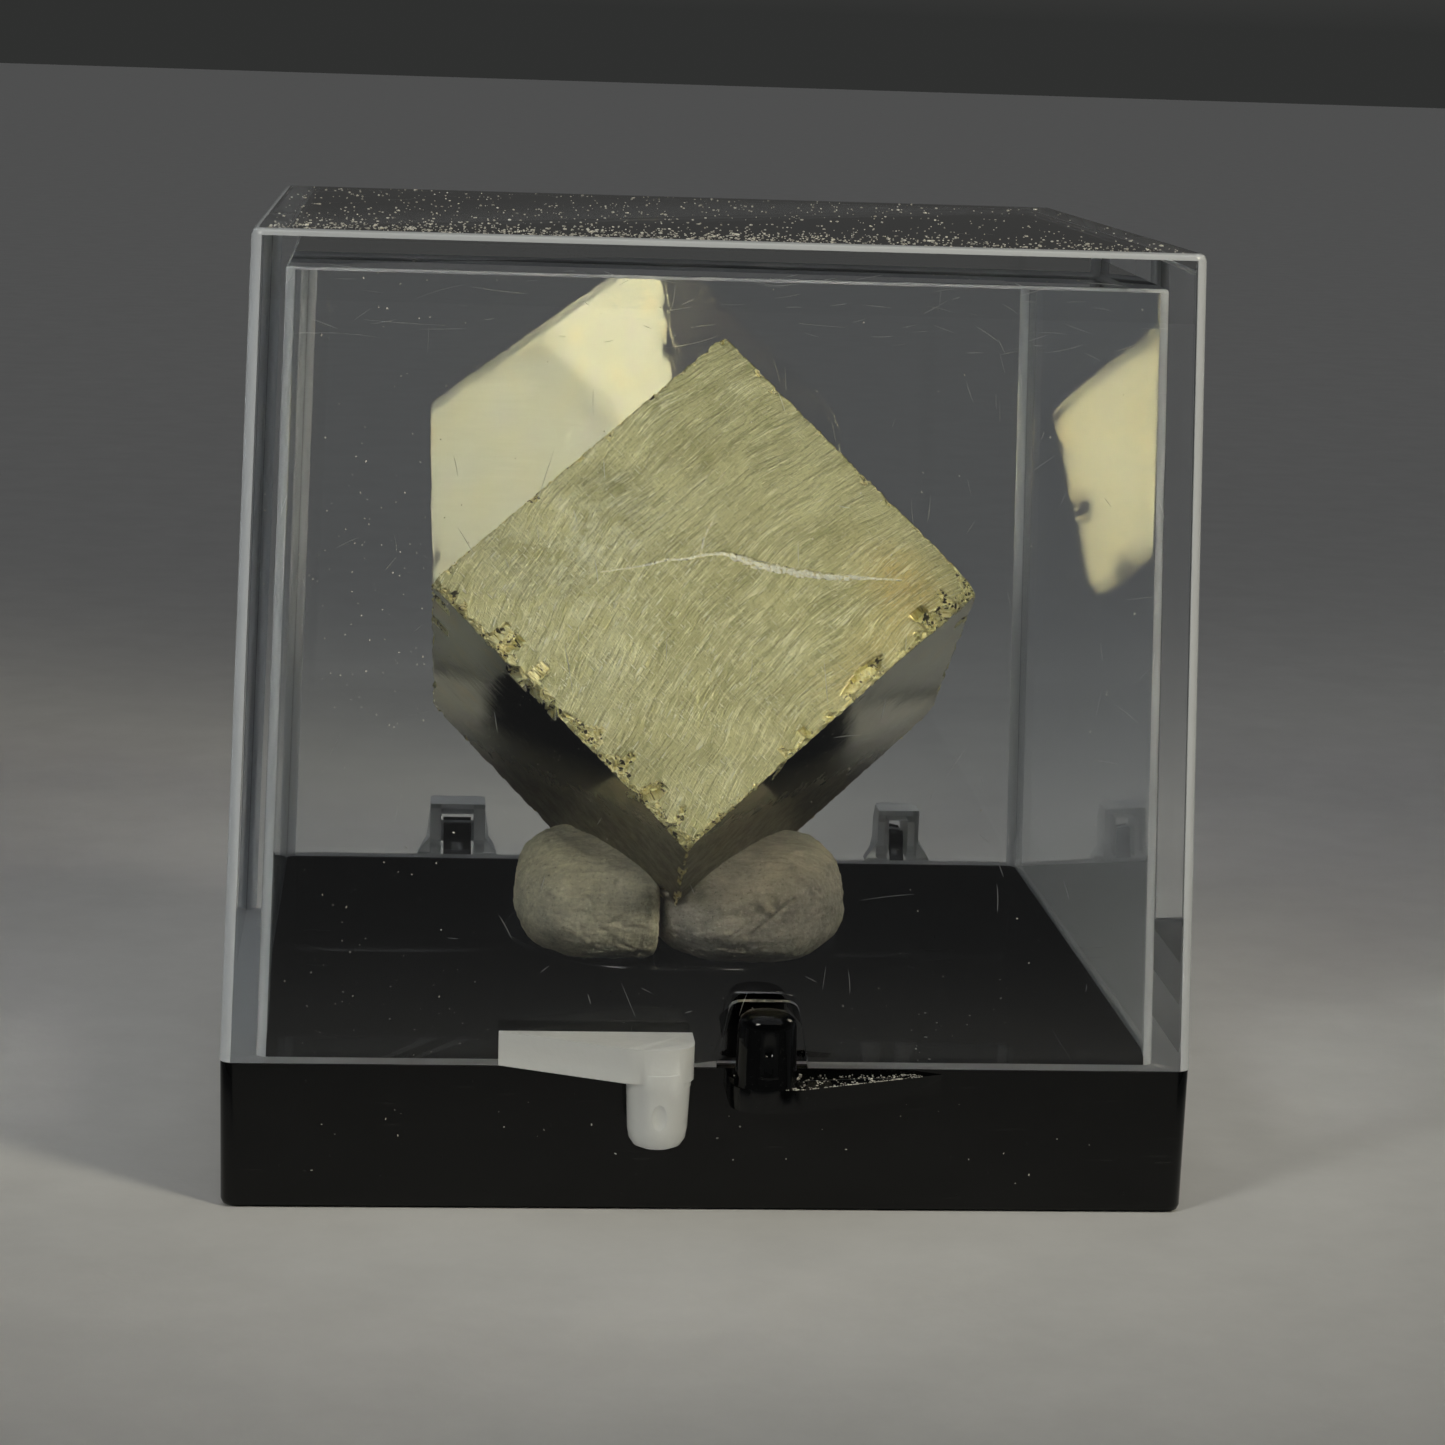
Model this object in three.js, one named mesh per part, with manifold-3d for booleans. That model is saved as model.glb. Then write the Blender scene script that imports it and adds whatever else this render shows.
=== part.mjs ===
// A natural pyrite cube mounted on putty in a small hinged display box.
// Millimetres, +Z up. The origin is the centre of the tray's underside, the latch side faces -Y
// and the hinges are on the +Y side. The crystal, the putty, the pedestal and the black tray stand
// still; the clear lid turns back about the hinge pins.
import * as THREE from 'three';
import { mergeVertices } from 'three/addons/utils/BufferGeometryUtils.js';
import Module from 'manifold-3d';

const wasm = await Module();
wasm.setup();

// Box: a cube of one and a quarter inches.
const BOX = 31.75;
const BOX_HEIGHT = 31.55;
const CORNER_RADIUS = 0.45;
const TRAY_HEIGHT = 4.84;
const TRAY_WALL = 1.12;
const TRAY_FLOOR = 1.1;
const TRAY_DRAFT = 0.06;
const RIM_GAP = 0.03;
const LID_WALL = 1.12;
const LID_TOP = 1.2;
const LID_DRAFT = 0.75;
const EDGE_BEVEL = 0.22;

// Thumb tabs and their pegs on the front wall.
const TAB_REACH = 2.2;
const CLEAR_TAB = { flush: -6.9, end: -0.62, bottom: 4.87, top: 6.02 };
const BLACK_TAB = { flush: 7.6, end: 0.55, bottom: 3.95, top: 4.7 };
const PEG_Y = -17.05;
const CLEAR_PEG = { x: -1.77, radius: 1.06, tip: 2.55, scar: 3.75 };
const BLACK_PEG = { x: 1.7, radius: 1.0, tip: 7.08, scar: 6.2 };
const NICHE = { bottomHalf: 1.5, topHalf: 1.17, height: 2.2, depth: 0.5 };

// Hinges on the back wall: a clear loop with a pin, and a black cradle that holds the pin.
const HINGE_Y = 17.05;
const HINGE_Z = 5.6;
const PIN_RADIUS = 0.42;
const CRADLE_BORE = 0.48;
const CRADLE_RADIUS = 0.78;
const CHEEK = 0.44;
const LOOP_TOP = 6.95;
const BRIDGE_CLEAR = 0.95;
const HINGES = [
  { x: -7.93, width: 2.2, shoulder: 0.22 },
  { x: 10.02, width: 1.66, shoulder: 0.5 },
];

// Pedestal puck.
const PEDESTAL = { x: -0.3, y: 0.6, radius: 6.07, top: 5.6, edge: 0.22 };

// Crystal: nearly a cube, standing on a corner with one face turned up to the front.
const CUBE_RIGHT = 12.66;
const CUBE_LEFT = 13.66;
const CUBE_DEPTH = 12.87;
const CUBE_CENTRE = new THREE.Vector3(0.11, -1.8, 16.33);
const CUBE_TURN = THREE.MathUtils.degToRad(1.0);
const CUBE_TILT = THREE.MathUtils.degToRad(29.2);
const CUBE_SPIN = THREE.MathUtils.degToRad(46.6);
const REST_GAP = 0.25;

// Putty: two squashed balls pressed together under the crystal's lowest edge.
const SEAM_X = -1.1;
const SEAM_GAP = 0.3;
const PUTTY_GAP = 0.3;
const LEFT_LOBE = { x: -2.95, y: -2.0, z: 7.6, rx: 3.15, ry: 4.4, up: 2.2, down: 2.1 };
const RIGHT_LOBE = { x: 2.3, y: -2.0, z: 7.5, rx: 3.35, ry: 4.5, up: 2.3, down: 2.0 };

// ---- helpers -------------------------------------------------------------------------------

function toSolid(geometry) {
  const bare = geometry.clone();
  for (const name of Object.keys(bare.attributes)) {
    if (name !== 'position') bare.deleteAttribute(name);
  }
  const merged = mergeVertices(bare, 1e-5);
  const mesh = new wasm.Mesh({
    numProp: 3,
    vertProperties: Float32Array.from(merged.attributes.position.array),
    triVerts: Uint32Array.from(merged.index.array),
  });
  return new wasm.Manifold(mesh);
}

function toGeometry(solid) {
  const mesh = solid.getMesh();
  const geometry = new THREE.BufferGeometry();
  geometry.setAttribute('position', new THREE.BufferAttribute(mesh.vertProperties, 3));
  geometry.setIndex(new THREE.BufferAttribute(mesh.triVerts, 1));
  const flat = geometry.toNonIndexed();
  flat.computeVertexNormals();
  return flat;
}

function joinAll(solids) {
  return solids.reduce((whole, next) => whole.add(next));
}

function box(lowX, highX, lowY, highY, lowZ, highZ) {
  const geometry = new THREE.BoxGeometry(highX - lowX, highY - lowY, highZ - lowZ);
  geometry.translate((lowX + highX) / 2, (lowY + highY) / 2, (lowZ + highZ) / 2);
  return toSolid(geometry);
}

function roundedSquare(half, radius) {
  const shape = new THREE.Shape();
  const inner = half - radius;
  shape.moveTo(inner, -half);
  shape.absarc(inner, -inner, radius, -Math.PI / 2, 0, false);
  shape.absarc(inner, inner, radius, 0, Math.PI / 2, false);
  shape.absarc(-inner, inner, radius, Math.PI / 2, Math.PI, false);
  shape.absarc(-inner, -inner, radius, Math.PI, 1.5 * Math.PI, false);
  return shape;
}

// A square block between two heights whose sides lean in by `draft` from the bottom to the top.
function draftedBlock(half, radius, bottom, top, draft, bevel) {
  const options = { depth: top - bottom, curveSegments: 4, bevelEnabled: false };
  if (bevel > 0) {
    options.depth = top - bottom - 2 * bevel;
    options.bevelEnabled = true;
    options.bevelThickness = bevel;
    options.bevelSize = bevel;
    options.bevelOffset = -bevel;
    options.bevelSegments = 2;
  }
  const geometry = new THREE.ExtrudeGeometry(roundedSquare(half, radius), options);
  geometry.translate(0, 0, bottom + bevel);
  const position = geometry.attributes.position;
  for (let i = 0; i < position.count; i += 1) {
    const share = (position.getZ(i) - bottom) / (top - bottom);
    const scale = 1 - (share * draft) / half;
    position.setXY(i, position.getX(i) * scale, position.getY(i) * scale);
  }
  return toSolid(geometry);
}

// A plate cut to a side profile drawn in (y, z), from lowX to highX.
function sidePlate(points, lowX, highX) {
  const shape = new THREE.Shape(points.map(([y, z]) => new THREE.Vector2(y, z)));
  const geometry = new THREE.ExtrudeGeometry(shape, { depth: highX - lowX, bevelEnabled: false });
  const turn = new THREE.Matrix4().makeBasis(
    new THREE.Vector3(0, 1, 0),
    new THREE.Vector3(0, 0, 1),
    new THREE.Vector3(1, 0, 0),
  );
  geometry.applyMatrix4(turn);
  geometry.translate(lowX, 0, 0);
  return toSolid(geometry);
}

function rodAlongX(radius, lowX, highX, y, z) {
  const geometry = new THREE.CylinderGeometry(radius, radius, highX - lowX, 28);
  geometry.rotateZ(Math.PI / 2);
  geometry.translate((lowX + highX) / 2, y, z);
  return toSolid(geometry);
}

function turned(profile, x, y, segments) {
  const points = profile.map(([r, z]) => new THREE.Vector2(r, z));
  const geometry = new THREE.LatheGeometry(points, segments);
  geometry.rotateX(Math.PI / 2);
  geometry.translate(x, y, 0);
  return toSolid(geometry);
}

function ellipsoid(rx, ry, rz, x, y, z, detail) {
  const geometry = new THREE.SphereGeometry(1, detail, Math.round(detail * 0.6));
  geometry.scale(rx, ry, rz);
  geometry.translate(x, y, z);
  return toSolid(geometry);
}

function namedMesh(name, solid, colour, roughness, metalness) {
  const material = new THREE.MeshStandardMaterial({ color: colour, roughness, metalness });
  material.name = name;
  const mesh = new THREE.Mesh(toGeometry(solid), material);
  mesh.name = name;
  return mesh;
}

// ---- thumb tabs ----------------------------------------------------------------------------

// A tab in plan: flush with the wall at one end, swelling to a rounded end at the other.
function tabBlade(tab) {
  const side = Math.sign(tab.flush - tab.end);
  const wall = -BOX / 2;
  const front = wall - TAB_REACH;
  const shape = new THREE.Shape();
  shape.moveTo(tab.flush, wall + 0.3);
  shape.lineTo(tab.flush, wall);
  shape.lineTo(tab.end + side * 2.3, front + 0.22);
  shape.quadraticCurveTo(tab.end + side * 1.5, front - 0.02, tab.end + side * 0.9, front + 0.05);
  shape.quadraticCurveTo(tab.end, front + 0.25, tab.end, front + 1.05);
  shape.lineTo(tab.end, wall + 0.3);
  const depth = tab.top - tab.bottom;
  const geometry = new THREE.ExtrudeGeometry(shape, { depth, curveSegments: 5, bevelEnabled: false });
  geometry.translate(0, 0, tab.bottom);
  return toSolid(geometry);
}

// The black tab thins from below where it runs out into the wall.
function blackTabTaper() {
  const { flush, bottom, top } = BLACK_TAB;
  const shape = new THREE.Shape();
  shape.moveTo(flush - 1.5, bottom - 0.1);
  shape.lineTo(flush + 0.2, bottom - 0.1);
  shape.lineTo(flush + 0.2, top - 0.12);
  shape.lineTo(flush - 0.1, top - 0.2);
  shape.lineTo(flush - 1.5, bottom);
  const geometry = new THREE.ExtrudeGeometry(shape, { depth: 1.5, bevelEnabled: false });
  geometry.rotateX(Math.PI / 2);
  geometry.translate(0, -BOX / 2, 0);
  return toSolid(geometry);
}

function gateScar(x, z) {
  return ellipsoid(0.3, 0.16, 0.5, x, PEG_Y - 1.06, z, 12);
}

function clearPeg() {
  const r = CLEAR_PEG.radius;
  const tip = CLEAR_PEG.tip;
  const root = CLEAR_TAB.bottom;
  const profile = [
    [0, tip],
    [r * 0.5, tip + 0.03],
    [r * 0.74, tip + 0.14],
    [r * 0.87, tip + 0.36],
    [r * 0.92, tip + 0.7],
    [r * 0.98, root - 0.25],
    [r, root - 0.2],
    [r, root + 0.3],
    [0, root + 0.3],
  ];
  return turned(profile, CLEAR_PEG.x, PEG_Y, 36).subtract(gateScar(CLEAR_PEG.x, CLEAR_PEG.scar));
}

function blackPeg() {
  const r = BLACK_PEG.radius;
  const tip = BLACK_PEG.tip;
  const root = BLACK_TAB.top;
  const profile = [
    [0, root - 0.3],
    [r + 0.03, root - 0.3],
    [r + 0.03, root + 0.02],
    [r, root + 0.1],
    [r * 0.95, tip - 0.42],
    [r * 0.88, tip - 0.2],
    [r * 0.7, tip - 0.06],
    [r * 0.4, tip],
    [0, tip],
  ];
  return turned(profile, BLACK_PEG.x, PEG_Y, 36).subtract(gateScar(BLACK_PEG.x, BLACK_PEG.scar));
}

// ---- hinges --------------------------------------------------------------------------------

function cheekProfile(shoulder) {
  const wall = BOX / 2 - 0.35;
  const back = HINGE_Y + 0.66;
  return [
    [wall, TRAY_HEIGHT + RIM_GAP],
    [back - 0.3, TRAY_HEIGHT + RIM_GAP + 0.08],
    [back, TRAY_HEIGHT + 0.4],
    [back, LOOP_TOP - shoulder - 0.2],
    [back - 0.15 - shoulder, LOOP_TOP],
    [wall, LOOP_TOP],
  ];
}

function foot(x, side) {
  const shape = new THREE.Shape();
  const low = TRAY_HEIGHT + RIM_GAP;
  shape.moveTo(x - side * 0.05, low);
  shape.lineTo(x + side * 0.5, low);
  shape.lineTo(x + side * 0.38, low + 0.22);
  shape.lineTo(x - side * 0.05, low + 0.8);
  const geometry = new THREE.ExtrudeGeometry(shape, { depth: 0.95, bevelEnabled: false });
  geometry.rotateX(Math.PI / 2);
  geometry.translate(0, BOX / 2 + 0.65, 0);
  return toSolid(geometry);
}

// The clear loop: two cheeks, the bridge over them and the pin between them.
function hingeLoop(hinge) {
  const left = hinge.x - hinge.width / 2;
  const right = hinge.x + hinge.width / 2;
  const profile = cheekProfile(hinge.shoulder);
  const bridgeBottom = HINGE_Z + BRIDGE_CLEAR;
  const bridge = box(left + 0.1, right - 0.1, BOX / 2 - 0.35, HINGE_Y + 0.4, bridgeBottom, LOOP_TOP);
  return joinAll([
    sidePlate(profile, left, left + CHEEK),
    sidePlate(profile, right - CHEEK, right),
    bridge,
    rodAlongX(PIN_RADIUS, left + 0.1, right - 0.1, HINGE_Y, HINGE_Z),
    foot(left, -1),
    foot(right, 1),
  ]);
}

// The black cradle: a sloping root on the tray wall with an open ring round the pin.
function hingeCradle(hinge) {
  const half = hinge.width / 2 - CHEEK - 0.1;
  const wall = BOX / 2 - 0.3;
  const root = [
    [wall, 2.1],
    [HINGE_Y + 0.4, 4.1],
    [HINGE_Y + 0.4, HINGE_Z - 0.3],
    [HINGE_Y - 0.68, HINGE_Z - 0.3],
    [BOX / 2 + 0.18, TRAY_HEIGHT],
    [wall, TRAY_HEIGHT],
  ];
  const left = hinge.x - half;
  const right = hinge.x + half;
  const ring = rodAlongX(CRADLE_RADIUS, left, right, HINGE_Y, HINGE_Z);
  const bore = rodAlongX(CRADLE_BORE, left - 1, right + 1, HINGE_Y, HINGE_Z);
  const mouth = box(left - 1, right + 1, HINGE_Y - 0.38, HINGE_Y + 0.38, HINGE_Z, HINGE_Z + 2);
  const above = box(left - 1, right + 1, HINGE_Y - 2, HINGE_Y + 2, HINGE_Z + 0.42, HINGE_Z + 2);
  return sidePlate(root, left, right).add(ring).subtract(bore).subtract(mouth).subtract(above);
}

// ---- box -----------------------------------------------------------------------------------

function trayBase() {
  const half = BOX / 2;
  const outer = draftedBlock(half - TRAY_DRAFT, CORNER_RADIUS, 0, TRAY_HEIGHT + 2, -TRAY_DRAFT, EDGE_BEVEL);
  const lift = box(-BOX, BOX, -BOX, BOX, TRAY_HEIGHT, TRAY_HEIGHT + 4);
  const hollow = draftedBlock(half - TRAY_WALL - 0.1, 0.5, TRAY_FLOOR, TRAY_HEIGHT + 2, -0.1, 0.2);
  const shell = outer.subtract(lift).subtract(hollow);
  const tab = tabBlade(BLACK_TAB).subtract(blackTabTaper());
  const fittings = [tab, blackPeg(), ...HINGES.map(hingeCradle)];
  return joinAll([shell, ...fittings]);
}

// The shallow recess in the lid's front wall that makes room behind the black peg.
function pegNiche(rim) {
  const { bottomHalf, topHalf, height, depth } = NICHE;
  const shape = new THREE.Shape();
  shape.moveTo(-bottomHalf, -0.5);
  shape.lineTo(bottomHalf, -0.5);
  shape.lineTo(bottomHalf, 0.15);
  shape.lineTo(topHalf, height - 0.35);
  shape.quadraticCurveTo(topHalf - 0.05, height, topHalf - 0.5, height);
  shape.lineTo(0.5 - topHalf, height);
  shape.quadraticCurveTo(0.05 - topHalf, height, -topHalf, height - 0.35);
  shape.lineTo(-bottomHalf, 0.15);
  const geometry = new THREE.ExtrudeGeometry(shape, { depth: 1.5, curveSegments: 4, bevelEnabled: false });
  geometry.rotateX(Math.PI / 2);
  geometry.translate(BLACK_PEG.x, -BOX / 2 + depth, rim);
  return toSolid(geometry);
}

function clearLid() {
  const rim = TRAY_HEIGHT + RIM_GAP;
  const half = BOX / 2;
  const outer = draftedBlock(half + 0.03, CORNER_RADIUS, rim - 1, BOX_HEIGHT, LID_DRAFT + 0.03, EDGE_BEVEL);
  const innerTop = BOX_HEIGHT - LID_TOP;
  const hollow = draftedBlock(half - LID_WALL, 0.4, rim - 1, innerTop, LID_DRAFT - 0.06, 0.12);
  const below = box(-BOX, BOX, -BOX, BOX, rim - 3, rim);
  const shell = outer.subtract(hollow).subtract(below);
  const fittings = [tabBlade(CLEAR_TAB), clearPeg(), ...HINGES.map(hingeLoop)];
  return joinAll([shell.subtract(pegNiche(rim)), ...fittings]);
}

function pedestalPuck() {
  const { x, y, radius, top, edge } = PEDESTAL;
  const bottom = TRAY_FLOOR + 0.02;
  const profile = [
    [0, bottom],
    [radius + 0.08, bottom],
    [radius, top - edge],
    [radius - 0.06, top - 0.08],
    [radius - edge, top],
    [0, top],
  ];
  return turned(profile, x, y, 72);
}

// ---- crystal -------------------------------------------------------------------------------

// Axes of the cube: `right` and `left` run down the two sides of the front face, `depth` goes back.
function cubeMatrix() {
  const back = new THREE.Vector3(
    Math.sin(CUBE_TURN) * Math.cos(CUBE_TILT),
    Math.cos(CUBE_TURN) * Math.cos(CUBE_TILT),
    -Math.sin(CUBE_TILT),
  );
  const across = new THREE.Vector3(Math.cos(CUBE_TURN), -Math.sin(CUBE_TURN), 0);
  const up = new THREE.Vector3().crossVectors(across, back);
  const cos = Math.cos(CUBE_SPIN);
  const sin = Math.sin(CUBE_SPIN);
  const right = across.clone().multiplyScalar(cos).addScaledVector(up, -sin);
  const left = across.clone().multiplyScalar(-sin).addScaledVector(up, -cos);
  return new THREE.Matrix4().makeBasis(right, left, back).setPosition(CUBE_CENTRE);
}

// A wedge broken off an edge: a turned block whose flat side leaves a facet across the edge.
function chip(along, place, length, bite, lean) {
  const size = 2;
  const geometry = new THREE.BoxGeometry(length, size, size);
  geometry.translate(0, size / 2, 0);
  geometry.rotateX(lean);
  geometry.rotateY(0.25 * Math.sin(place * 7.3));
  const back = new THREE.Vector3(0, -bite, 0).applyAxisAngle(new THREE.Vector3(1, 0, 0), lean);
  geometry.translate(place, back.y, back.z);
  geometry.applyMatrix4(along);
  return toSolid(geometry);
}

// Frames on the front edges: x along the edge, y and z out of the two faces that meet there.
function edgeFrame(origin, along, outA, outB) {
  return new THREE.Matrix4().makeBasis(along, outA, outB).setPosition(origin);
}

function frontEdges() {
  const hr = CUBE_RIGHT / 2;
  const hl = CUBE_LEFT / 2;
  const hd = CUBE_DEPTH / 2;
  const x = new THREE.Vector3(1, 0, 0);
  const y = new THREE.Vector3(0, 1, 0);
  const front = new THREE.Vector3(0, 0, -1);
  const minus = (v) => v.clone().negate();
  return {
    lowerLeft: edgeFrame(new THREE.Vector3(0, hl, -hd), minus(x), y, front),
    lowerRight: edgeFrame(new THREE.Vector3(hr, 0, -hd), y, x, front),
    upperLeft: edgeFrame(new THREE.Vector3(-hr, 0, -hd), minus(y), minus(x), front),
    upperRight: edgeFrame(new THREE.Vector3(0, -hl, -hd), x, minus(y), front),
  };
}

function edgeChips() {
  const edges = frontEdges();
  const chips = [];
  const diagonal = Math.PI / 4;
  for (let i = 0; i < 17; i += 1) {
    const place = -5.9 + i * 0.74;
    const bite = 0.05 + 0.13 * (0.5 + 0.5 * Math.sin(i * 2.4 + 1));
    chips.push(chip(edges.lowerLeft, place, 0.62 + 0.2 * Math.sin(i * 1.7), bite, diagonal + 0.4 * Math.sin(i * 3.1)));
  }
  for (const [place, length, bite] of [[-6.2, 1.6, 0.34], [-5.2, 0.8, 0.2], [0.7, 1.3, 0.2], [2.0, 0.9, 0.26], [6.4, 1.0, 0.22]]) {
    chips.push(chip(edges.lowerRight, place, length, bite, diagonal + 0.3 * Math.sin(place)));
  }
  for (const [place, length, bite] of [[-4.1, 0.5, 0.06], [-0.6, 0.4, 0.05], [3.6, 0.6, 0.07]]) {
    chips.push(chip(edges.upperLeft, place, length, bite, diagonal));
  }
  for (const [place, length, bite] of [[-2.9, 0.5, 0.06], [4.6, 0.5, 0.07]]) {
    chips.push(chip(edges.upperRight, place, length, bite, diagonal));
  }
  return chips;
}

// The healed crack across the front face, as short V-shaped grooves laid end to end.
function crackGrooves() {
  const course = [
    [-1.9, 0.9],
    [-1.2, -0.15],
    [-0.5, -1.2],
    [0.7, -1.85],
    [1.6, -2.55],
    [2.7, -3.45],
  ];
  const grooves = [];
  for (let i = 0; i + 1 < course.length; i += 1) {
    const [x0, y0] = course[i];
    const [x1, y1] = course[i + 1];
    const length = Math.hypot(x1 - x0, y1 - y0);
    const geometry = new THREE.BoxGeometry(length + 0.06, 0.13, 0.13);
    geometry.rotateX(Math.PI / 4);
    geometry.rotateZ(Math.atan2(y1 - y0, x1 - x0));
    geometry.translate((x0 + x1) / 2, (y0 + y1) / 2, -CUBE_DEPTH / 2 - 0.02);
    grooves.push(toSolid(geometry));
  }
  return grooves;
}

// A shallow stepped pit beside the lower right edge.
function growthStep() {
  const geometry = new THREE.BoxGeometry(1.3, 2.1, 0.5);
  geometry.rotateZ(0.1);
  geometry.translate(CUBE_RIGHT / 2 + 0.05, -1.75, -CUBE_DEPTH / 2 - 0.03);
  return toSolid(geometry);
}

// The hidden lowest corner is broken off flat, where the crystal sits over the pedestal.
function restingBreak() {
  const size = 4;
  const geometry = new THREE.BoxGeometry(size, size, size);
  geometry.translate(0, 0, PEDESTAL.top + REST_GAP - size / 2);
  geometry.applyMatrix4(cubeMatrix().invert());
  return toSolid(geometry);
}

function crystal() {
  let body = toSolid(new THREE.BoxGeometry(CUBE_RIGHT, CUBE_LEFT, CUBE_DEPTH));
  for (const cut of [...edgeChips(), ...crackGrooves(), growthStep(), restingBreak()]) {
    body = body.subtract(cut);
  }
  return body;
}

// ---- putty ---------------------------------------------------------------------------------

function crystalHollow() {
  const grow = 2 * PUTTY_GAP;
  const geometry = new THREE.BoxGeometry(CUBE_RIGHT + grow, CUBE_LEFT + grow, CUBE_DEPTH + grow);
  geometry.applyMatrix4(cubeMatrix());
  return toSolid(geometry);
}

// One lump, flatter below than above, flat where it sits on the pedestal and parted from its
// neighbour at the seam.
function puttyLobe(lobe, side) {
  const geometry = new THREE.SphereGeometry(1, 34, 20);
  geometry.rotateX(Math.PI / 2);
  const position = geometry.attributes.position;
  for (let i = 0; i < position.count; i += 1) {
    const z = position.getZ(i);
    position.setZ(i, z > 0 ? z * lobe.up : z * lobe.down);
  }
  geometry.scale(lobe.rx, lobe.ry, 1);
  geometry.translate(lobe.x, lobe.y, lobe.z);
  const ball = toSolid(geometry);
  const floor = box(-20, 20, -20, 20, -10, PEDESTAL.top + 0.05);
  const near = SEAM_X + (side * SEAM_GAP) / 2;
  const other = side < 0 ? box(near, 20, -20, 20, 0, 20) : box(-20, near, -20, 20, 0, 20);
  return ball.subtract(floor).subtract(other).subtract(crystalHollow());
}

// ---- assembly ------------------------------------------------------------------------------

const specimen = new THREE.Group();
specimen.name = 'mounted_pyrite_cube';

const crystalMesh = namedMesh('pyrite_crystal', crystal(), 0x8f8763, 0.34, 1.0);
crystalMesh.applyMatrix4(cubeMatrix());
specimen.add(crystalMesh);
specimen.add(namedMesh('putty_left_lobe', puttyLobe(LEFT_LOBE, -1), 0x8b867a, 0.9, 0.0));
specimen.add(namedMesh('putty_right_lobe', puttyLobe(RIGHT_LOBE, 1), 0x88837a, 0.9, 0.0));
specimen.add(namedMesh('pedestal', pedestalPuck(), 0x0d0d0e, 0.22, 0.0));
specimen.add(namedMesh('tray_base', trayBase(), 0x0a0a0b, 0.16, 0.0));

const lid = namedMesh('clear_lid', clearLid(), 0xdfe6ee, 0.06, 0.0);
lid.material.transparent = true;
lid.material.opacity = 0.3;
specimen.add(lid);

export default specimen;
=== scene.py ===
"""Pyrite cube on putty and a round pedestal, in a small black tray with a clear hinged lid."""

import math

import bmesh
import bpy
import numpy as np
from mathutils import Matrix, Vector, noise


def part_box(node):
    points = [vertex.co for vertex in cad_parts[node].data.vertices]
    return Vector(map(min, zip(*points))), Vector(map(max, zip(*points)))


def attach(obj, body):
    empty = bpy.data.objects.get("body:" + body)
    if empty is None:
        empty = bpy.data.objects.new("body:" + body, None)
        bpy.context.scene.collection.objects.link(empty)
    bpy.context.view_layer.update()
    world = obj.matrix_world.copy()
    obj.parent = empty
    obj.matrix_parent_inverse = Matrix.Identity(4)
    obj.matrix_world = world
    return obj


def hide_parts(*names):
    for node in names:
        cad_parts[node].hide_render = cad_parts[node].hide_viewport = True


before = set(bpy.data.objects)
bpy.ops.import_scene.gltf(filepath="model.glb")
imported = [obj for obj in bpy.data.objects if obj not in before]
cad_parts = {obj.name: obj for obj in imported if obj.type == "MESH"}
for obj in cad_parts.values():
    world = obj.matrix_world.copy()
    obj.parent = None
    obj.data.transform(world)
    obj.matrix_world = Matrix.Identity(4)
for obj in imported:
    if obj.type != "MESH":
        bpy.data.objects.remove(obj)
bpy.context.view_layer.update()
MM = 0.001

# The crystal's setting, the same numbers that its solid has, in millimetres and degrees.
CUBE_HALF = np.array([6.33, 6.83, 6.435])
CUBE_CENTRE = np.array([0.11, -1.8, 16.33])
CUBE_TURN, CUBE_TILT, CUBE_SPIN = 1.0, 29.2, 46.6
CUBE_FOOT = 5.85
PUTTY_SEAM = -1.1

# The box, in millimetres: half its width, where the lid's walls start, their height and how far
# they lean in, and the places of the tray's floor and of the black tab's top.
BOX_HALF = 15.875
LID_FOOT = 4.84
LID_HEIGHT = 26.7
LID_DRAFT = 0.75
TRAY_FLOOR = 1.105
TAB_TOP = 4.705

# The places of the finishes on the crystal and on the lid. On the lid, every finish but the plain
# wall is partly whitish, as painted highlights and glare where light shows in clear plastic.
RUBBED, MIRROR, BROKEN = range(3)
WALL, TAB, EDGE_GLINT, PAINTED_GLARE_LEFT, FOOT_GLINT, PAINTED_GLARE_RIGHT = range(6)

# The camera: a long lens close to the box, a little left of its middle and looking down.
# Angles in radians.
LENS_MM = 92.784581
SENSOR_MM = 36.0
CAMERA_PLACE = (-0.0099792, -0.132575, 0.0380495)
CAMERA_YAW, CAMERA_PITCH, CAMERA_ROLL = 0.08554, 0.18368, -0.03277


def cube_axes():
    """The crystal's own axes as columns: the front face's two edges, and straight back."""
    turn, tilt, spin = (math.radians(a) for a in (CUBE_TURN, CUBE_TILT, CUBE_SPIN))
    back = np.array(
        [math.sin(turn) * math.cos(tilt), math.cos(turn) * math.cos(tilt), -math.sin(tilt)]
    )
    across = np.array([math.cos(turn), -math.sin(turn), 0.0])
    up = np.cross(across, back)
    right = across * math.cos(spin) - up * math.sin(spin)
    left = -across * math.sin(spin) - up * math.cos(spin)
    return np.array([right, left, back]).T


AXES = cube_axes()


# ---------------------------------------------------------------- small helpers

def add(tree, kind, sockets=None, **settings):
    """One shader node with its settings, and its input sockets filled or linked."""
    n = tree.nodes.new("ShaderNode" + kind)
    for key, value in settings.items():
        setattr(n, key, value)
    for key, value in (sockets or {}).items():
        if isinstance(value, bpy.types.NodeSocket):
            tree.links.new(value, n.inputs[key])
        else:
            n.inputs[key].default_value = value
    return n


def finish(name):
    """A new material, its node tree and its Principled shader."""
    material = bpy.data.materials.new(name)
    material.use_nodes = True
    tree = material.node_tree
    return material, tree, tree.nodes["Principled BSDF"]


def span(tree, value, low, high, to_low=0.0, to_high=1.0):
    """A value stretched from one range to another, and held inside it."""
    return add(
        tree, "MapRange",
        {"Value": value, "From Min": low, "From Max": high, "To Min": to_low, "To Max": to_high}
    ).outputs["Result"]


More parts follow.
